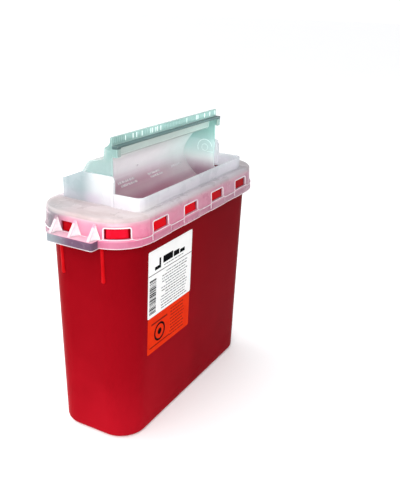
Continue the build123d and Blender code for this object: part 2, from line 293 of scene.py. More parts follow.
def cover_material(name, edge):
    """Milky translucent polypropylene. Where the red rim stands close behind the
    wall, painted pink stands in for its light showing through; the edge copy paints a whiter highlight on the thick
    edges."""
    m, nt, p = material(name)
    v = coords(nt)
    x, y, z = split(nt, v)
    ax, ay = math_node(nt, "ABSOLUTE", x), math_node(nt, "ABSOLUTE", y)
    cloud = map_range(nt, noise(nt, v, 26.0, 4.0, 0.6), 0.3, 0.7, 0.0, 1.0)
    blotch = map_range(nt, noise(nt, v, 11.0, 2.0, 0.5), 0.35, 0.65, 0.0, 1.0, smooth=True)
    streak = map_range(nt, noise(nt, v, 60.0, 3.0, 0.55, stretch=(1.0, 1.0, 0.10)), 0.35, 0.75, 0.0, 1.0)
    swirl = map_range(nt, noise(nt, v, 34.0, 3.0, 0.6, stretch=(0.15, 1.0, 1.0)), 0.35, 0.75, 0.0, 1.0)
    grain = map_range(nt, noise(nt, v, 420.0, 2.0, 0.6), 0.3, 0.7, 0.0, 1.0)
    far = map_range(nt, x, -0.10, 0.14, 0.0, 1.0, smooth=True)
    # upper structure: blue-white, with a little lavender towards the deck
    upper = mix_color(nt, cloud, rgba(0.80, 0.84, 0.87), rgba(0.94, 0.95, 0.97))
    upper = mix_color(nt, mul(nt, streak, 0.35), upper, rgba(0.96, 0.97, 0.99))
    # painted shade: greyer and darker towards the far end, partly broken up by the grain
    upper = mix_color(nt, mul(nt, far, 0.66), upper, rgba(0.45, 0.49, 0.52))
    upper = mix_color(nt, mul(nt, map_range(nt, grain, 0.0, 1.0, 0.0, 0.16), far), upper, rgba(0.40, 0.44, 0.48))
    # end towers: painted shade makes them teal-grey towards the rear, a painted glare whitens the front of the near
    # tower, lavender low down
    tower = map_range(nt, ax, 0.0965, 0.0975, 0.0, 1.0)
    rear = mul(nt, tower, map_range(nt, add2(nt, y, mul(nt, cloud, 0.006)), 0.006, 0.024, 0.0, 0.75, smooth=True))
    glare = mul(nt, map_range(nt, x, -0.0990, -0.0998, 0.0, 1.0), map_range(nt, add2(nt, y, mul(nt, cloud, 0.008)), 0.024, -0.006, 0.0, 0.80, smooth=True))
    upper = mix_color(nt, glare, upper, rgba(0.985, 0.99, 0.99))
    upper = mix_color(nt, rear, upper, rgba(0.36, 0.48, 0.50))
    blush = mul(nt, map_range(nt, x, -0.0990, -0.0998, 0.0, 1.0), mul(nt, band(nt, y, 0.000, 0.016, 0.005), band(nt, z, 0.229, 0.238, 0.004)))
    upper = mix_color(nt, mul(nt, blush, 0.55), upper, rgba(0.80, 0.66, 0.80))
    foot = map_range(nt, add2(nt, z, mul(nt, cloud, -0.005)), 0.242, 0.231, 0.0, 0.34, smooth=True)
    upper = mix_color(nt, foot, upper, rgba(0.84, 0.74, 0.84))
    # painted highlight: near-white at the foot of the collar by the near front corner
    heel_highlight = mul(nt, map_range(nt, z, 0.2395, 0.2325, 0.0, 0.9, smooth=True), mul(nt, band(nt, x, -0.112, -0.074, 0.012), map_range(nt, y, -0.030, -0.040, 0.0, 1.0, smooth=True)))
    upper = mix_color(nt, heel_highlight, upper, rgba(1.0, 0.98, 0.99))
    # skirt: pink over the red rim, painted in for the rim's red light showing through the wall
    pink = mix_color(nt, cloud, rgba(0.99, 0.20, 0.40), rgba(0.98, 0.44, 0.60))
    pink = mix_color(nt, mul(nt, swirl, 0.30), pink, rgba(0.90, 0.70, 0.80))
    pink = mix_color(nt, mul(nt, blotch, 0.16), pink, rgba(0.98, 0.72, 0.80))
    # painted shade: darker towards the far end
    pink = mix_color(nt, mul(nt, far, 0.60), pink, rgba(0.54, 0.42, 0.50))
    pale = map_range(nt, z, 0.2215, 0.2275, 0.0, 0.45, smooth=True)
    pink = mix_color(nt, pale, pink, rgba(0.80, 0.70, 0.72))
    # painted shade: both rear corners and the far end are dark grey, since the bin stands off from the wall and no red
    # light shows through
    grey = map_range(nt, x, 0.112, 0.130, 0.0, 0.75, smooth=True)
    grey2 = mul(nt, map_range(nt, ax, 0.108, 0.124, 0.0, 1.0), map_range(nt, y, 0.006, 0.030, 0.0, 0.92, smooth=True))
    pink = mix_color(nt, math_node(nt, "MAXIMUM", grey, grey2), pink, rgba(0.24, 0.25, 0.28))
    # painted highlight: a bright spot on each corner of the skirt, just above the corner windows' height
    cx = math_node(nt, "SUBTRACT", ax, 0.1267)
    cy = math_node(nt, "SUBTRACT", ay, 0.0385)
    reach = math_node(nt, "SQRT", add2(nt, mul(nt, cx, cx), mul(nt, cy, cy)))
    shine = mul(nt, map_range(nt, reach, 0.016, 0.003, 0.0, 0.8, smooth=True), band(nt, z, 0.2238, 0.2256, 0.0012))
    pink = mix_color(nt, shine, pink, rgba(1.0, 0.86, 0.92))
    low = map_range(nt, z, 0.2300, 0.2245, 0.0, 1.0, smooth=True)
    base = mix_color(nt, low, upper, pink)
    # deck: beige-pink, because light comes up through it from the red bin
    deck = mul(nt, band(nt, z, 0.2268, 0.2303, 0.0006), map_range(nt, ax, 0.096, 0.104, 0.35, 1.0))
    fibre = map_range(nt, noise(nt, v, 60.0, 4.0, 0.65, stretch=(1.0, 0.35, 1.0)), 0.35, 0.72, 0.0, 1.0)
    beige = mix_color(nt, fibre, rgba(0.66, 0.52, 0.50), rgba(0.93, 0.83, 0.82))
    beige = mix_color(nt, mul(nt, blotch, 0.35), beige, rgba(0.92, 0.86, 0.88))
    # painted shade: the deck darkens towards the far end and at the rear of each end
    beige = mix_color(nt, mul(nt, far, 0.65), beige, rgba(0.36, 0.35, 0.37))
    beige = mix_color(nt, mul(nt, map_range(nt, ax, 0.100, 0.130, 0.0, 1.0), map_range(nt, y, 0.0, 0.045, 0.0, 0.75, smooth=True)), beige, rgba(0.40, 0.40, 0.40))
    base = mix_color(nt, mul(nt, deck, 0.88), base, beige)
    # ledges: purple-grey fascia, bluer at the rear, with whiter gussets above
    ledge = map_range(nt, ax, 0.1366, 0.1376, 0.0, 1.0, smooth=True)
    fascia = mix_color(nt, cloud, rgba(0.13, 0.07, 0.13), rgba(0.26, 0.14, 0.24))
    fascia = mix_color(nt, map_range(nt, y, -0.004, 0.022, 0.0, 0.85, smooth=True), fascia, rgba(0.36, 0.44, 0.47))
    base = mix_color(nt, mul(nt, ledge, band(nt, z, 0.2035, 0.2117, 0.0004)), base, fascia)
    base = mix_color(nt, mul(nt, ledge, map_range(nt, z, 0.2118, 0.2126, 0.0, 0.85)), base, rgba(0.96, 0.84, 0.88))
    # lower band: duller, with painted shade towards the far end; light lines run along its upper and lower lips, the
    # lower one a painted highlight
    bandm = mul(nt, band(nt, z, 0.2048, 0.2102, 0.0004), math_node(nt, "SUBTRACT", 1.0, ledge))
    dull = mix_color(nt, cloud, rgba(0.60, 0.17, 0.31), rgba(0.74, 0.32, 0.46))
    dull = mix_color(nt, mul(nt, far, 0.75), dull, rgba(0.34, 0.24, 0.31))
    base = mix_color(nt, mul(nt, bandm, 0.62), base, dull)
    lip = band(nt, z, 0.2038, 0.2047, 0.00025)
    base = mix_color(nt, mul(nt, lip, 0.85), base, rgba(0.97, 0.90, 0.93))
    # edge copy: a painted highlight whitens the bevelled edges, less towards the far end
    if edge:
        base = mix_color(nt, map_range(nt, x, -0.06, 0.12, 0.80, 0.50), base, rgba(0.97, 0.98, 1.0))
    nt.links.new(base, p.inputs["Base Color"])
    a = mix_value(nt, low, 0.68, 0.72)
    a = mix_value(nt, glare, a, 0.88)
    a = mix_value(nt, deck, a, 0.76)
    a = mix_value(nt, lip, a, 0.92)
    a = mix_value(nt, mul(nt, ledge, 1.0), a, 0.90)
    a = add2(nt, a, map_range(nt, cloud, 0.0, 1.0, -0.04, 0.04))
    if edge:
        a = add2(nt, mul(nt, a, 0.3), 0.68)
    fine = noise(nt, v, 1400.0, 2.0, 0.6)
    nt.links.new(map_range(nt, cloud, 0.0, 1.0, 0.22, 0.36), p.inputs["Roughness"])
    p.inputs["IOR"].default_value = 1.49
    p.inputs["Specular IOR Level"].default_value = 0.45
    bump(nt, p, add2(nt, mul(nt, fine, 0.25), streak), 0.12, 0.0010)
    milky(m, nt, p, base, a, 0.30)
    return m


def door_material(name, edge):
    """Clear polypropylene with a green tint: denser at the lip and on the edges, where a
    painted highlight lightens it, and painted purple low down in the tray stands in for the shaded red bin behind."""
    m, nt, p = material(name)
    v = coords(nt)
    x, y, z = split(nt, v)
    ax = math_node(nt, "ABSOLUTE", x)
    cloud = map_range(nt, noise(nt, v, 22.0, 4.0, 0.6), 0.3, 0.7, 0.0, 1.0)
    soft = map_range(nt, noise(nt, v, 9.0, 2.0, 0.5, stretch=(0.8, 1.0, 1.3)), 0.3, 0.7, 0.0, 1.0, smooth=True)
    swirl = map_range(nt, noise(nt, v, 26.0, 2.0, 0.5, stretch=(0.10, 1.0, 1.0)), 0.35, 0.70, 0.0, 1.0, smooth=True)
    lip = map_range(nt, z, 0.2800, 0.2820, 0.0, 1.0, smooth=True)
    # back and tray, from the bottom upwards; the purple and pink low down are painted, for the shaded red bin behind
    zz = map_range(nt, add2(nt, z, mul(nt, soft, 0.004)), 0.212, 0.284, 0.0, 1.0)
    base = ramp(nt, zz, [(0.04, rgba(0.56, 0.20, 0.32)), (0.20, rgba(0.70, 0.38, 0.49)), (0.32, rgba(0.84, 0.72, 0.78)),
                         (0.42, rgba(0.92, 0.91, 0.92)), (0.62, rgba(0.90, 0.91, 0.91)), (0.78, rgba(0.52, 0.61, 0.57)),
                         (0.95, rgba(0.47, 0.58, 0.54))])
    base = mix_color(nt, mul(nt, swirl, 0.20), base, rgba(0.92, 0.94, 0.94))
    thread = map_range(nt, noise(nt, v, 52.0, 2.0, 0.55, stretch=(0.04, 1.0, 1.0)), 0.50, 0.62, 0.0, 1.0, smooth=True)
    base = mix_color(nt, mul(nt, thread, band(nt, z, 0.218, 0.240, 0.004)), base, mix_color(nt, 0.30, base, rgba(0.98, 0.90, 0.94)))
    # painted highlight: a thin white streak along the curve, stronger at the near end
    curl_highlight = mul(nt, band(nt, z, 0.2352, 0.2368, 0.0010), map_range(nt, x, 0.02, -0.08, 0.10, 0.55, smooth=True))
    base = mix_color(nt, curl_highlight, base, rgba(1.0, 1.0, 1.0))
    warm = mul(nt, map_range(nt, x, 0.085, -0.04, 0.0, 0.22, smooth=True), band(nt, z, 0.246, 0.270, 0.006))
    base = mix_color(nt, warm, base, rgba(0.82, 0.76, 0.79))
    # painted shade: darker and greener towards the far end
    base = mix_color(nt, map_range(nt, x, 0.02, 0.09, 0.0, 0.30, smooth=True), base, rgba(0.42, 0.66, 0.60))
    # cheeks: greener; the far one is near-white low down, painted light standing in for the white tower behind it, and
    # dark purple at the bottom, painted shade for the bin inside
    near_c = map_range(nt, x, -0.0955, -0.0960, 0.0, 1.0)
    far_c = map_range(nt, x, 0.0955, 0.0960, 0.0, 1.0)
    teal = mix_color(nt, cloud, rgba(0.36, 0.66, 0.62), rgba(0.50, 0.76, 0.73))
    zf = map_range(nt, add2(nt, z, mul(nt, soft, 0.004)), 0.212, 0.284, 0.0, 1.0)
    teal_far = ramp(nt, zf, [(0.16, rgba(0.32, 0.13, 0.22)), (0.24, rgba(0.62, 0.50, 0.58)), (0.36, rgba(0.94, 0.98, 0.96)),
                             (0.52, rgba(0.62, 0.88, 0.85)), (0.63, rgba(0.50, 0.80, 0.77)), (0.66, rgba(0.24, 0.62, 0.58)),
                             (0.90, rgba(0.28, 0.62, 0.57))])
    base = mix_color(nt, near_c, base, teal)
    base = mix_color(nt, far_c, base, teal_far)
    grip = mix_color(nt, cloud, rgba(0.26, 0.45, 0.42), rgba(0.38, 0.57, 0.53))
    base = mix_color(nt, lip, base, grip)
    # painted shade: the ledge under the lip is dark
    ledge = mul(nt, band(nt, z, 0.2812, 0.2848, 0.0004), map_range(nt, y, -0.0118, -0.0126, 0.0, 1.0))
    base = mix_color(nt, mul(nt, ledge, 0.90), base, rgba(0.09, 0.16, 0.165))
    # edge copy: a painted highlight lightens the bevelled edges, less on the ledge
    if edge:
        base = mix_color(nt, mul(nt, add2(nt, mul(nt, ledge, -0.8), 1.0), 0.55), base, rgba(0.80, 0.97, 0.93))
    nt.links.new(base, p.inputs["Base Color"])
    a = mix_value(nt, band(nt, z, 0.234, 0.262, 0.006), 0.66, 0.84)
    a = mix_value(nt, near_c, a, 0.40)
    a = mix_value(nt, far_c, a, 0.90)
    a = mix_value(nt, lip, a, 0.82)
    a = add2(nt, a, map_range(nt, cloud, 0.0, 1.0, -0.04, 0.05))
    if edge:
        a = add2(nt, mul(nt, a, 0.45), 0.42)
    nt.links.new(map_range(nt, cloud, 0.0, 1.0, 0.12, 0.24), p.inputs["Roughness"])
    p.inputs["IOR"].default_value = 1.49
    fine = noise(nt, v, 300.0, 2.0, 0.5)
    bump(nt, p, add2(nt, mul(nt, fine, 0.2), swirl), 0.07, 0.0008)
    milky(m, nt, p, base, a, 0.45)
    return m


def mix_value(nt, fac, a, b):
    n = nt.nodes.new("ShaderNodeMix")
    n.data_type = "FLOAT"
    for sock, v in ((n.inputs[0], fac), (n.inputs[2], a), (n.inputs[3], b)):
        if isinstance(v, (int, float)):
            sock.default_value = v
        else:
            nt.links.new(v, sock)
    return n.outputs[0]


def simple(name, color, color2, rough, scale=60.0, alpha=None, bump_strength=0.08, bump_dist=0.0005, spec=0.5):
    m, nt, p = material(name)
    v = coords(nt)
    n = noise(nt, v, scale, 3.0, 0.55)
    nt.links.new(mix_color(nt, map_range(nt, n, 0.3, 0.7, 0.0, 1.0), color, color2), p.inputs["Base Color"])
    nt.links.new(map_range(nt, n, 0.3, 0.7, rough[0], rough[1]), p.inputs["Roughness"])
    if alpha is not None:
        nt.links.new(map_range(nt, n, 0.3, 0.7, alpha[0], alpha[1]), p.inputs["Alpha"])
    p.inputs["IOR"].default_value = 1.49
    p.inputs["Specular IOR Level"].default_value = spec
    bump(nt, p, n, bump_strength, bump_dist)
    return m


def lug_plastic():
    m, nt, p = material("red_polypropylene_lugs")
    v = coords(nt)
    x, y, z = split(nt, v)
    n = map_range(nt, noise(nt, v, 120.0, 3.0, 0.55), 0.3, 0.7, 0.0, 1.0)
    col = mix_color(nt, n, rgba(0.62, 0.003, 0.014), rgba(0.78, 0.012, 0.040))
    flank = map_range(nt, math_node(nt, "ABSOLUTE", y), 0.0500, 0.0512, 0.0, 1.0)
    col = mix_color(nt, flank, col, rgba(0.72, 0.001, 0.008))
    # painted shade: the lugs darken towards the far end, and the end lugs darker still
    col = mix_color(nt, map_range(nt, x, -0.06, 0.08, 0.0, 0.72, smooth=True), col, rgba(0.22, 0.001, 0.004))
    col = mix_color(nt, map_range(nt, math_node(nt, "ABSOLUTE", x), 0.1315, 0.1325, 0.0, 0.80), col, rgba(0.30, 0.001, 0.002))
    nt.links.new(col, p.inputs["Base Color"])
    nt.links.new(map_range(nt, n, 0.0, 1.0, 0.12, 0.2), p.inputs["Roughness"])
    p.inputs["IOR"].default_value = 1.49
    p.inputs["Specular IOR Level"].default_value = 0.02
    bump(nt, p, n, 0.2, 0.0006)
    return m


RED = red_plastic()
LUG_RED = lug_plastic()
BEAD_RED = simple("red_polypropylene_beads", rgba(0.44, 0.003, 0.005), rgba(0.54, 0.004, 0.008), (0.14, 0.22), 120.0, spec=0.02)
COVER = cover_material("cover_frosted_polypropylene", False)
# lit copy of the cover material: painted highlight for the bevelled edges
COVER_EDGE_HIGHLIGHT = cover_material("cover_edge_highlight_polypropylene", True)
RIB = simple("cover_rib_polypropylene", rgba(0.90, 0.80, 0.84), rgba(0.97, 0.91, 0.94), (0.22, 0.32), 60.0, alpha=(0.72, 0.90))
FLARE = simple("cover_gusset_polypropylene", rgba(0.98, 0.86, 0.89), rgba(0.99, 0.96, 0.97), (0.22, 0.32), 150.0, alpha=(0.78, 0.94))
DOOR = door_material("door_clear_polypropylene", False)
# lit copy of the door material: painted highlight for the bevelled edges
DOOR_EDGE_HIGHLIGHT = door_material("door_edge_highlight_polypropylene", True)
GRIP = simple("door_grip_polypropylene", rgba(0.28, 0.47, 0.44), rgba(0.38, 0.57, 0.54), (0.10, 0.18), 120.0)
# painted glint: a pale, glossy copy of the grip colour
GLINT = simple("door_grip_glint", rgba(0.70, 0.90, 0.86), rgba(0.92, 0.99, 0.97), (0.06, 0.12), 300.0)
RAISED = simple("door_raised_marks", rgba(0.74, 0.72, 0.75), rgba(0.86, 0.84, 0.87), (0.2, 0.3), 200.0, alpha=(0.55, 0.7))
WHITE = simple("label_film_white", rgba(0.90, 0.90, 0.89), rgba(0.95, 0.95, 0.94), (0.30, 0.42), 90.0)
ORANGE = simple("label_film_orange", rgba(0.74, 0.028, 0.005), rgba(0.82, 0.038, 0.006), (0.30, 0.42), 90.0, spec=0.004)
INK = simple("label_ink_black", rgba(0.002, 0.002, 0.003), rgba(0.005, 0.005, 0.006), (0.35, 0.5), 200.0, spec=0.004)
INK_GREY = simple("label_ink_grey", rgba(0.06, 0.08, 0.09), rgba(0.11, 0.14, 0.15), (0.35, 0.5), 200.0, spec=0.02)
INK_RUST = simple("label_ink_rust", rgba(0.16, 0.008, 0.003), rgba(0.22, 0.012, 0.004), (0.35, 0.5), 200.0, spec=0.01)

# -------------------------------------------------------------------- stage
bpy.ops.mesh.primitive_circle_add(vertices=96, radius=14, fill_type="NGON", location=(0, 0, -0.0003))
floor = bpy.context.object
floor.name = "floor"
fm, fnt, fp = material("studio_floor")
fv = coords(fnt)
fn = noise(fnt, fv, 3.0, 3.0, 0.5)
fnt.links.new(mix_color(fnt, fn, rgba(0.88, 0.88, 0.88), rgba(0.91, 0.91, 0.91)), fp.inputs["Base Color"])
fp.inputs["Roughness"].default_value = 0.7
fp.inputs["Emission Color"].default_value = (1, 1, 1, 1)
fp.inputs["Emission Strength"].default_value = 0.16
floor.data.materials.append(fm)

world = bpy.data.worlds.new("studio")
scene.world = world
world.use_nodes = True
wt = world.node_tree
bg = wt.nodes["Background"]
bg.inputs[0].default_value = (0.98, 0.985, 1.0, 1)
wc = wt.nodes.new("ShaderNodeTexCoord")
dot = wt.nodes.new("ShaderNodeVectorMath")
dot.operation = "DOT_PRODUCT"
dot.inputs[1].default_value = (-0.48, 0.62, 0.62)      # brighter from behind, the left and above
wt.links.new(wc.outputs["Generated"], dot.inputs[0])
wt.links.new(map_range(wt, dot.outputs["Value"], -0.5, 0.9, 0.34, 1.28, smooth=True), bg.inputs[1])


def area(name, loc, target, size, power, color=(1, 1, 1)):
    light = bpy.data.lights.new(name, "AREA")
    light.shape = "RECTANGLE"
    light.size, light.size_y = size
    light.energy = power
    light.color = color
    ob = bpy.data.objects.new(name, light)
    ob.location = loc
    ob.rotation_mode = "QUATERNION"
    ob.rotation_quaternion = (Vector(target) - Vector(loc)).to_track_quat("-Z", "Y")
    scene.collection.objects.link(ob)
    return ob


area("key", (-0.70, -0.30, 0.62), (-0.05, 0, 0.17), (0.45, 0.45), 3.4)
area("top", (-0.2, 0.3, 1.7), (0, 0, 0.1), (1.3, 1.3), 5.0)
area("back", (-0.1, 0.95, 0.75), (0, 0, 0.22), (0.9, 0.5), 5.0)
strip = area("door_fill", (0.015, -0.115, 0.335), (0.035, 0.02, 0.245), (0.19, 0.03), 0.025)
strip.data.spread = math.radians(46)
strip.visible_camera = False
cheek = area("cheek_fill", (-0.01, -0.12, 0.325), (0.0957, 0.0, 0.246), (0.04, 0.04), 0.009)
cheek.data.spread = math.radians(34)
cheek.visible_camera = False

# ------------------------------------------------------------------- camera
yaw, pitch, roll = (math.radians(v) for v in (28.0799689742734, 21.30321607788527, 1.961280975307436))
fwd = Vector((math.cos(yaw) * math.cos(pitch), math.sin(yaw) * math.cos(pitch), -math.sin(pitch)))
right = fwd.cross(Vector((0, 0, 1))).normalized()
up = right.cross(fwd)
r2 = right * math.cos(roll) + up * math.sin(roll)
u2 = -right * math.sin(roll) + up * math.cos(roll)
cam_data = bpy.data.cameras.new("camera")
cam = bpy.data.objects.new("camera", cam_data)
scene.collection.objects.link(cam)
m = Matrix((r2, u2, -fwd)).transposed().to_4x4()
m.translation = Vector((-552.7276950779742, -344.8305272178178, 408.30756121989384)) * MM
cam.matrix_world = m
cam_data.sensor_width = 36.0
cam_data.lens = 36.0 * 654.5012130263084 / 500.0
cam_data.clip_start, cam_data.clip_end = 0.02, 60.0
scene.camera = cam
scene.view_settings.view_transform = "Standard"
scene.view_settings.look = "None"

# ---------------------------------------------------------------------- bin
BIN_BOT, BIN_TOP = (242.4, 88.5, 27.0), (258.2, 95.3, 33.8)
NECK_Z, SHOULDER_Z, RIM_Z = 204.0, 208.0, 228.2
RIM_LOW, RIM_HIGH = (265.4, 102.7, 35.4), (264.4, 100.9, 35.0)
WALL, FLOOR, FILLET = 2.2, 2.5, 4.0


def wall_at(z):
    return mix_size(BIN_BOT, BIN_TOP, z / NECK_Z)


rings = []
for k in (0.0, 0.25, 0.5, 0.75):                       # underside
    s = shrink(wall_at(0), FILLET + (1 - k) * 24)
    rings.append(ring(s, 0.0))
for i in range(0, 9):                                   # base fillet
    t = math.radians(90.0 * i / 8)
    z = FILLET * (1 - math.cos(t))
    rings.append(ring(shrink(wall_at(z), FILLET * (1 - math.sin(t))), z))
for z in (16, 30, 46, 62, 80, 98, 116, 134, 152, 168, 184, 197):
    rings.append(ring(wall_at(z), z))
for z, s in ((NECK_Z - 0.8, wall_at(NECK_Z - 0.8)), (NECK_Z + 0.6, mix_size(BIN_TOP, RIM_LOW, 0.2)),
             (NECK_Z + 2.0, mix_size(BIN_TOP, RIM_LOW, 0.5)), (SHOULDER_Z - 0.6, mix_size(BIN_TOP, RIM_LOW, 0.86)),
             (SHOULDER_Z + 0.8, mix_size(RIM_LOW, RIM_HIGH, 0.04))):
    rings.append(ring(s, z))
for z in (212.0, 217.0, 222.0, 226.8):
    rings.append(ring(mix_size(RIM_LOW, RIM_HIGH, (z - SHOULDER_Z) / (RIM_Z - SHOULDER_Z)), z))
for dz, t in ((0.95, 0.06), (0.4, 0.3), (0.08, 0.7)):   # rounded top of the rim
    rings.append(ring(shrink(RIM_HIGH, t), RIM_Z - dz))
rings.append(ring(shrink(RIM_HIGH, 1.1), RIM_Z))
for dz, t in ((0.08, 1.5), (0.4, 1.9), (0.95, 2.14)):
    rings.append(ring(shrink(RIM_HIGH, t), RIM_Z - dz))
rings.append(ring(shrink(RIM_HIGH, WALL), 222.0))
rings.append(ring(shrink(RIM_LOW, WALL), SHOULDER_Z + 1))
rings.append(ring(shrink(mix_size(BIN_TOP, RIM_LOW, 0.5), WALL), NECK_Z + 2))
for z in (NECK_Z - 0.6, 180, 150, 120, 90, 60, 30, 12, 5.5):
    rings.append(ring(shrink(wall_at(z), WALL), z))
for i in range(1, 6):                                   # inner corner of the floor
    t = math.radians(90.0 * i / 5)
    rings.append(ring(shrink(wall_at(FLOOR), WALL + 3.0 * (1 - math.cos(t))), FLOOR + 3.0 * (1 - math.sin(t))))
for k in (0.5, 1.0):
    rings.append(ring(shrink(wall_at(FLOOR), WALL + 3.0 + k * 20), FLOOR))
bin_shell = loft("bin_shell", rings, material=RED)
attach(bin_shell, "root")
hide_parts("bin")

# latch lugs: wedges that stand in the cover's windows
SKIRT_LOW, SKIRT_HIGH, DECK_Z = (270.6, 107.9, 37.2), (268.8, 105.3, 36.3), 230.0


def skirt_at(z):
    return mix_size(SKIRT_LOW, SKIRT_HIGH, (z - NECK_Z) / (DECK_Z - NECK_Z))


def on_skirt(kind, sx, sy, u, z, off):
    """A point on the skirt's outer face, off mm inside it. u runs along the wall
    in mm: x on the long walls, arc length from the middle of a corner, y at an end."""
    L, D, r = skirt_at(z)
    if kind == "long":
        return Vector((u, sy * (D / 2 - off), z))
    if kind == "end":
        return Vector((sx * (L / 2 - off), u, z))
    t = math.radians(36.5) + u / 36.6
    return Vector((sx * (L / 2 - r + (r - off) * math.cos(t)), sy * (D / 2 - r + (r - off) * math.sin(t)), z))


WINDOWS = [("long", 1, sy, x, 25.0) for sy in (-1, 1) for x in (-81.9, -27.3, 27.3, 81.9)]
WINDOWS += [("corner", sx, -1, 0.0, 23.4) for sx in (-1, 1)]
WINDOWS += [("end", sx, 1, 10.3, 12.4) for sx in (-1, 1)]
Z0, Z1 = 212.3, 221.7


def grid_block(front, back, nu, nz):
    """Closed block from two functions of (u in 0..1, v in 0..1)."""
    verts, faces = [], []
    for f in (front, back):
        for j in range(nz + 1):
            for i in range(nu + 1):
                verts.append(f(i / nu, j / nz) * MM)
    n = (nu + 1) * (nz + 1)
    idx = lambda i, j, k=0: k * n + j * (nu + 1) + i
    for j in range(nz):
        for i in range(nu):
            faces.append((idx(i, j), idx(i + 1, j), idx(i + 1, j + 1), idx(i, j + 1)))
            faces.append((idx(i, j, 1), idx(i, j + 1, 1), idx(i + 1, j + 1, 1), idx(i + 1, j, 1)))
    for i in range(nu):
        faces.append((idx(i, 0), idx(i, 0, 1), idx(i + 1, 0, 1), idx(i + 1, 0)))
        faces.append((idx(i, nz), idx(i + 1, nz), idx(i + 1, nz, 1), idx(i, nz, 1)))
    for j in range(nz):
        faces.append((idx(0, j), idx(0, j + 1), idx(0, j + 1, 1), idx(0, j, 1)))
        faces.append((idx(nu, j), idx(nu, j, 1), idx(nu, j + 1, 1), idx(nu, j + 1)))
    return verts, faces


def gather(name, blocks, mat, body, round_width=None, segments=2):
    verts, faces = [], []
    for v, f in blocks:
        k = len(verts)
        verts += v
        faces += [tuple(i + k for i in face) for face in f]
    ob = new_mesh_object(name, verts, faces, mat)
    outward(ob)
    if round_width:
        bevel(ob, round_width, segments, 40)
    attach(ob, body)
    return ob


def lug(kind, sx, sy, uc, w):
    half, side = w / 2 - 1.5, 1.6

    def front(a, b):
        z = Z0 + 0.7 + (Z1 - Z0 - 1.4) * b
        edge = max(0.0, 1 - min(a, 1 - a) * 2 * half / side)      # sloping flanks
        return on_skirt(kind, sx, sy, uc + (2 * a - 1) * half, z, 0.45 + 0.9 * b + 0.9 * edge)

    def back(a, b):
        z = Z0 + 0.7 + (Z1 - Z0 - 1.4) * b
        return on_skirt(kind, sx, sy, uc + (2 * a - 1) * half, z, 4.1)
    return grid_block(front, back, 14, 4)


gather("latch_lugs", [lug(*w) for w in WINDOWS], LUG_RED, "root", 0.0004, 2)


# raised rib round the top and the sides of each window, except the windows in the end walls
def window_rib(kind, sx, sy, uc, w):
    half, width, proud = w / 2 + 0.55, 1.15, 0.45
    path = [(-half - 0.9, Z0 - 0.9), (-half, Z0 + 0.8), (-half, Z1 - 1.1)]
    for i in range(1, 6):
        t = math.radians(90 * i / 5)
        path.append((-half + 1.8 * (1 - math.cos(t)), Z1 - 1.1 + 1.8 * math.sin(t)))
    n = 8
    for i in range(1, n):
        path.append((-half + 1.8 + (2 * half - 3.6) * i / n, Z1 + 0.7))
    path += [(-u, z) for u, z in path[7::-1]]
    prof = []
    for i in range(7):                                     # half-round section
        t = math.pi * i / 6
        prof.append((-width / 2 * math.cos(t), proud * math.sin(t)))
    prof = [(-width / 2, -0.5)] + prof + [(width / 2, -0.5)]
    verts, faces = [], []
    for k, (u, z) in enumerate(path):
        a, b = path[max(k - 1, 0)], path[min(k + 1, len(path) - 1)]
        du, dz = b[0] - a[0], b[1] - a[1]
        d = math.hypot(du, dz)
        nu, nz = -dz / d, du / d
        for s, h in prof:
            verts.append(on_skirt(kind, sx, sy, uc + u + nu * s, z + nz * s, -h) * MM)
    m, n = len(prof), len(path)
    for k in range(n - 1):
        for i in range(m):
            faces.append((k * m + i, k * m + (i + 1) % m, (k + 1) * m + (i + 1) % m, (k + 1) * m + i))
    faces.append(tuple(range(m)))
    faces.append(tuple((n - 1) * m + i for i in range(m))[::-1])
    return verts, faces


gather("window_ribs", [window_rib(*w) for w in WINDOWS if w[0] != "end"], RIB, "root")


# rib along the upper edge of the thick band; it steps up under each window
def band_top(x, y):
    sx, sy = math.copysign(1, x), math.copysign(1, y)
    L, D, r = BAND
    ax, ay = abs(x), abs(y)
    step = 0.0
    if ax > L / 2 - r and ay > D / 2 - r and y > 0:
        step = 0.0
    elif ax > L / 2 - r and ay > D / 2 - r:
        deg = math.degrees(math.atan2(ay - (D / 2 - r), ax - (L / 2 - r)))
        step = max(step, 1 - max(0.0, abs(deg - 36.5) - 22.0) / 2.0)
    elif ay > D / 2 - 2:
        d = min(abs(x - c) for c in (-81.9, -27.3, 27.3, 81.9))
        step = max(step, 1 - max(0.0, d - 14.6) / 0.9)
    else:
        edge = 26 if y < 0 else 22
        step = 1.0 if ay < edge else 1 - (ay - edge) / 1.0
    return 210.85 + (212.15 - 210.85) * min(max(step, 0.0), 1.0)


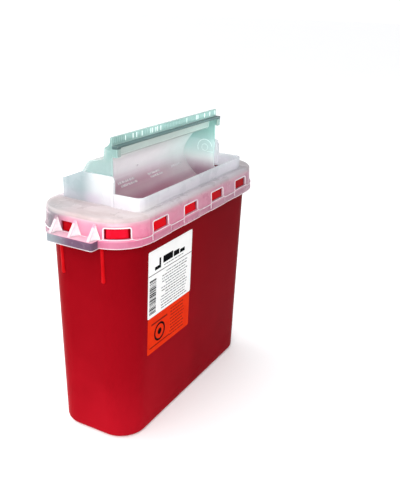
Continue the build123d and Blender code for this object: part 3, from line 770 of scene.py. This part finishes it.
BAND = (272.6, 109.9, 38.2)
path = [(x, y, band_top(x, y)) for x, y, _ in ring(BAND, 0.0, n_long=220, n_short=50)]
n, prof = len(path), [(math.cos(t), math.sin(t)) for t in [2 * math.pi * i / 8 for i in range(8)]]
verts, faces = [], []
for k, (px, py, pz) in enumerate(path):
    a, b = path[k - 1], path[(k + 1) % n]
    tan = Vector((b[0] - a[0], b[1] - a[1], b[2] - a[2])).normalized()
    side = tan.cross(Vector((0, 0, 1))).normalized()
    upw = side.cross(tan)
    for c, sn in prof:
        verts.append((Vector((px, py, pz)) + side * (c * 0.50 - 0.42) + upw * (sn * 0.42)) * MM)
for k in range(n):
    for i in range(8):
        faces.append((k * 8 + i, k * 8 + (i + 1) % 8, ((k + 1) % n) * 8 + (i + 1) % 8, ((k + 1) % n) * 8 + i))
uprights = []
for sy in (-1, 1):
    for xc in (-81.9, -27.3, 27.3, 81.9):
        for d in (-15.3, 15.3):
            lo = [Vector((xc + d + a, sy * (54.2 + b), 206.4)) for a, b in ((-0.35, 0), (0.35, 0), (0.2, 0.85), (-0.2, 0.85))]
            hi = [Vector((xc + d + a, sy * (54.0 + b), 211.2)) for a, b in ((-0.35, 0), (0.35, 0), (0.2, 0.85), (-0.2, 0.85))]
            uprights.append(([v * MM for v in lo + hi], [(3, 2, 1, 0), (4, 5, 6, 7)] + [(i, (i + 1) % 4, 4 + (i + 1) % 4, 4 + i) for i in range(4)]))
gather("band_rib", [(verts, faces)] + uprights, RIB, "root")


# fairing between each gusset and the wall, widest at the ledge
def flare(sx, yg):
    front, back = [], []
    nu, nv = 8, 10
    for j in range(nv + 1):
        t = j / nv
        xo, w = 144.2 + (136.0 - 144.2) * t, 4.6 * (1 - t) ** 1.2 + 0.3
        wall = 135.2
        for i in range(nu + 1):
            u = i / nu
            xx = wall + 0.25 + (xo - wall) * (1 - u) ** 1.7
            front.append(Vector((sx * xx, yg - 1.2 - w * u, 212.15 + 12.2 * t)) * MM)
            back.append(Vector((sx * wall, yg - 1.2 - w * u, 212.15 + 12.2 * t)) * MM)
    verts, faces = front + back, []
    m = len(front)
    idx = lambda i, j, k=0: k * m + j * (nu + 1) + i
    for j in range(nv):
        for i in range(nu):
            faces.append((idx(i, j), idx(i + 1, j), idx(i + 1, j + 1), idx(i, j + 1)))
            faces.append((idx(i, j, 1), idx(i, j + 1, 1), idx(i + 1, j + 1, 1), idx(i + 1, j, 1)))
        faces.append((idx(0, j), idx(0, j + 1), idx(0, j + 1, 1), idx(0, j, 1)))
        faces.append((idx(nu, j), idx(nu, j, 1), idx(nu, j + 1, 1), idx(nu, j + 1)))
    for i in range(nu):
        faces.append((idx(i, 0), idx(i, 0, 1), idx(i + 1, 0, 1), idx(i + 1, 0)))
        faces.append((idx(i, nv), idx(i + 1, nv), idx(i + 1, nv, 1), idx(i, nv, 1)))
    return verts, faces


gather("gusset_flares", [flare(sx, yg) for sx in (-1, 1) for yg in (-20.5, 0.0, 20.5)], FLARE, "root")


# stacking beads on the end walls
def bead(sx, sy):
    lean = (BIN_TOP[0] - BIN_BOT[0]) / 2 / NECK_Z
    rows = []
    stations = [(169.6 - 2.05 * math.cos(math.radians(t)), 2.05 * math.sin(math.radians(t))) for t in range(6, 91, 12)]
    stations += [(171.2, 1.95), (173.0, 1.75), (176.0, 1.7), (186.0, 1.7), (196.0, 1.7), (206.2, 1.7)]
    verts, faces, n = [], [], 18
    for z, r in stations:
        cx = BIN_BOT[0] / 2 + lean * z - 0.75
        for i in range(n):
            t = 2 * math.pi * i / n
            verts.append(Vector((sx * (cx + r * math.cos(t)), sy * 22.3 + r * math.sin(t), z)) * MM)
    for k in range(len(stations) - 1):
        for i in range(n):
            faces.append((k * n + i, k * n + (i + 1) % n, (k + 1) * n + (i + 1) % n, (k + 1) * n + i))
    faces.append(tuple(range(n)))
    faces.append(tuple((len(stations) - 1) * n + i for i in range(n)))
    return verts, faces


gather("stacking_beads", [bead(sx, sy) for sx in (-1, 1) for sy in (-1, 1)], BEAD_RED, "root")

# ------------------------------------------------------------ printed labels
TILT = math.atan(3.4 / 204)
OUT = Vector((0, -math.cos(TILT), math.sin(TILT) * -1))


def on_front(x, z, off):
    return Vector((x, -(44.25 + 3.4 * z / 204), z)) + OUT * off


def flat(poly, lo=0.20, hi=0.31):
    """Thin prism of printed ink over a polygon in label coordinates (x, z)."""
    n = len(poly)
    verts = [on_front(x, z, lo) * MM for x, z in poly] + [on_front(x, z, hi) * MM for x, z in poly]
    faces = [tuple(range(n))[::-1], tuple(range(n, 2 * n))]
    faces += [(i, (i + 1) % n, n + (i + 1) % n, n + i) for i in range(n)]
    return verts, faces


def rect(x0, x1, z0, z1, lo=0.20, hi=0.31):
    return flat([(x0, z0), (x1, z0), (x1, z1), (x0, z1)], lo, hi)


def ring_mark(cx, cz, r0, r1, n=40):
    verts, faces = [], []
    for off in (0.20, 0.31):
        for r in (r0, r1):
            for i in range(n):
                t = 2 * math.pi * i / n
                verts.append(on_front(cx + r * math.cos(t), cz + r * math.sin(t), off) * MM)
    for i in range(n):
        j = (i + 1) % n
        faces += [(i, j, n + j, n + i), (2 * n + i, 3 * n + i, 3 * n + j, 2 * n + j),
                  (i, 2 * n + i, 2 * n + j, j), (n + i, n + j, 3 * n + j, 3 * n + i)]
    return verts, faces


def dashes(rng, x0, x1, z, h, short=0.0):
    """A line of word-like dashes."""
    out, x = [], x0 + rng.uniform(0, 1.0)
    end = x1 - short
    while x < end - 1.2:
        w = rng.choice((2.0, 2.8, 3.6, 4.6, 5.6))
        out.append(rect(x, min(x + w, end), z - h / 2, z + h / 2))
        x += w + 1.0
    return out


rng = random.Random(7)
black, grey, rust = [], [], []
black.append(rect(-92.5, -13.6, 166.1, 166.75))
z = 126.2
while z < 161.6:                                            # bar field at the left
    h = rng.choice((0.45, 0.45, 0.8, 1.1, 1.5))
    black.append(rect(-90.4, -79.2, z, min(z + h, 162.2)))
    z += h + rng.choice((0.5, 0.5, 0.9))
for i in range(13):                                         # paragraph of dashes
    zz = 162.4 - i * 3.05
    left = -71.0 + (8.0 if i in (0, 4, 7) else 0.0) + rng.uniform(0, 2)
    (black if i in (1, 6, 7, 11) else grey).extend(dashes(rng, left, -20.0, zz, 0.85, rng.uniform(0, 5)))
# plain block and bars in the header field
black.append(flat([(-82.0, 169.6), (-71.5, 169.6), (-71.5, 180.0), (-74.5, 180.0), (-74.5, 173.0), (-82.0, 173.0)]))
black.append(rect(-67.5, -50.0, 172.6, 179.6))
black.append(rect(-48.6, -38.0, 172.6, 178.0))
black.append(rect(-36.6, -27.5, 172.6, 176.4))
grey += dashes(rng, -66.0, -28.0, 170.0, 0.8)
# orange field
rust.append(rect(-86.0, -57.5, 113.2, 115.0))
black.append(ring_mark(-71.0, 101.8, 7.6, 9.8))
black.append(ring_mark(-71.0, 101.8, 0.05, 3.4))
rust.append(rect(-89.0, -52.5, 88.9, 90.1))
for i in range(9):
    rust += dashes(rng, -53.0 + rng.uniform(0, 1.5), -24.0, 117.6 - i * 3.6, 0.95, rng.uniform(0, 4))
for name, blocks, ink, slot_name in (("print_black", black, INK, "label_white"), ("print_grey", grey, INK_GREY, "label_white"),
                                     ("print_rust", rust, INK_RUST, "label_orange")):
    ob = gather(name, blocks, ink, "root")
    for p in ob.data.polygons:
        p.use_smooth = False

# --------------------------------------------------------------- door details
FRONT_CURVE = [(20.4, 255.0), (25.0, 246.8), (26.7, 240.0), (25.5, 233.2), (22.4, 227.0), (15.8, 219.8), (9.6, 214.6)]


def door_front(s):
    """Point and outward (forward) normal on the front of the door's round back, s mm
    below its top along the curve. Returns (y, z), (ny, nz)."""
    for (y0, z0), (y1, z1) in zip(FRONT_CURVE, FRONT_CURVE[1:]):
        d = math.hypot(y1 - y0, z1 - z0)
        if s <= d or (y1, z1) == FRONT_CURVE[-1]:
            f = s / d
            ty, tz = (y1 - y0) / d, (z1 - z0) / d
            return (y0 + (y1 - y0) * f, z0 + (z1 - z0) * f), (tz, -ty)
        s -= d


def raised(x0, x1, s0, s1, h=0.45):
    def face(k):
        def f(a, b):
            (y, z), (ny, nz) = door_front(s0 + (s1 - s0) * b)
            return Vector((x0 + (x1 - x0) * a, y + ny * k, z + nz * k))
        return f
    return grid_block(face(h), face(-0.3), 2, 3)


marks = []
rng2 = random.Random(3)
marks.append(raised(-2.3, -0.3, 13.4, 15.4))
for x0, x1, s0 in ((-38.0, -10.0, 24.8), (-35.0, -7.0, 28.8), (15.0, 38.0, 26.4), (18.0, 42.0, 30.2), (62.0, 84.0, 27.6)):
    x = x0
    while x < x1 - 1.5:
        w = rng2.choice((2.2, 3.0, 4.2))
        marks.append(raised(x, min(x + w, x1), s0, s0 + 2.1))
        x += w + 0.9
gather("door_marks", marks, RAISED, "door", 0.00015, 1)

# grip ribs along the front of the lip; about a fifth, picked at random, carry a painted glint
ribs, glints = [], []
rng3 = random.Random(11)
for i in range(65):
    xc = -94.4 + i * 2.95
    z0, z1, n = 285.6, 290.3, 10
    verts, faces = [], []
    for j in range(7):
        f = j / 6
        z = z0 + (z1 - z0) * f
        h = 0.42 * math.sin(math.pi * (0.12 + 0.76 * f)) ** 0.5
        for i2 in range(n):
            t = 2 * math.pi * i2 / n
            verts.append(Vector((xc + 0.85 * math.cos(t), -12.1 - h * math.sin(t), z)) * MM)
    for j in range(6):
        for i2 in range(n):
            faces.append((j * n + i2, j * n + (i2 + 1) % n, (j + 1) * n + (i2 + 1) % n, (j + 1) * n + i2))
    faces += [tuple(range(n)), tuple(6 * n + k for k in range(n))]
    (glints if rng3.random() < 0.22 else ribs).append((verts, faces))
gather("grip_ribs", ribs, GRIP, "door")
gather("grip_glints", glints, GLINT, "door")

# raised ring round the pivot on the inner face of each cheek, in the painted glint material
def pivot_ring(sx, r0=8.5, r1=9.5, a0=-25, a1=170, n=44):
    verts, faces = [], []
    closed = a1 - a0 == 360
    m = n if closed else n + 1
    for i in range(m):
        t = math.radians(a0 + (a1 - a0) * i / n)
        for xx, r in ((95.9, r0), (95.5, r0 + 0.25), (95.5, r1 - 0.25), (95.9, r1)):
            verts.append(Vector((sx * xx, -0.4 + r * math.cos(t), 247.4 + r * math.sin(t))) * MM)
    for i in range(n):
        j = (i + 1) % m
        for k in range(4):
            faces.append((i * 4 + k, i * 4 + (k + 1) % 4, j * 4 + (k + 1) % 4, j * 4 + k))
    if not closed:
        faces += [(0, 1, 2, 3), tuple(n * 4 + k for k in (3, 2, 1, 0))]
    return verts, faces


def pivot_bar(sx, y0, y1, z0, z1):
    verts = [Vector((sx * xx, y, z)) * MM for xx in (95.9, 95.5) for y, z in ((y0, z0), (y1, z0), (y1, z1), (y0, z1))]
    return verts, [(3, 2, 1, 0), (4, 5, 6, 7)] + [(i, (i + 1) % 4, 4 + (i + 1) % 4, 4 + i) for i in range(4)]


arcs = [pivot_ring(sx) for sx in (-1, 1)] + [pivot_ring(sx, 3.4, 4.1, 0, 360, 28) for sx in (-1, 1)]
arcs += [pivot_bar(sx, -11.4, -3.6, 242.6, 243.3) for sx in (-1, 1)]
gather("pivot_rings", arcs, GLINT, "door")

# cover and door: the CAD solids with rounded edges, lighter by a painted highlight
for name, mats, width in (("lid_cover", (COVER, COVER_EDGE_HIGHLIGHT), 0.00040), ("drop_door", (DOOR, DOOR_EDGE_HIGHLIGHT), 0.00035)):
    ob = nodes[name]
    ob.data.materials.clear()
    for mat in mats:
        ob.data.materials.append(mat)
    for p in ob.data.polygons:
        p.material_index = 0
        p.use_smooth = True
    w = ob.modifiers.new("join", "WELD")
    w.merge_threshold = 1e-6
    d = ob.modifiers.new("flat_faces", "DECIMATE")
    d.decimate_type = "DISSOLVE"
    d.angle_limit = math.radians(0.6)
    bevel(ob, width, 2, 35, material=1)

for name, mat in (("label_white", WHITE), ("label_orange", ORANGE)):
    ob = nodes[name]
    ob.data.materials.clear()
    ob.data.materials.append(mat)
    for p in ob.data.polygons:
        p.material_index = 0

# past the floor's edge the camera sees plain white; the gradient still lights
world_nodes = bpy.context.scene.world.node_tree
world_out = next(n for n in world_nodes.nodes if n.type == "OUTPUT_WORLD")
lit_by = world_out.inputs["Surface"].links[0].from_socket
seen = world_nodes.nodes.new("ShaderNodeBackground")
seen.inputs["Color"].default_value = (1.0, 1.0, 1.0, 1.0)
seen.inputs["Strength"].default_value = 1.3
ray_kind = world_nodes.nodes.new("ShaderNodeLightPath")
either = world_nodes.nodes.new("ShaderNodeMixShader")
world_nodes.links.new(ray_kind.outputs["Is Camera Ray"], either.inputs[0])
world_nodes.links.new(lit_by, either.inputs[1])
world_nodes.links.new(seen.outputs[0], either.inputs[2])
world_nodes.links.new(either.outputs[0], world_out.inputs["Surface"])
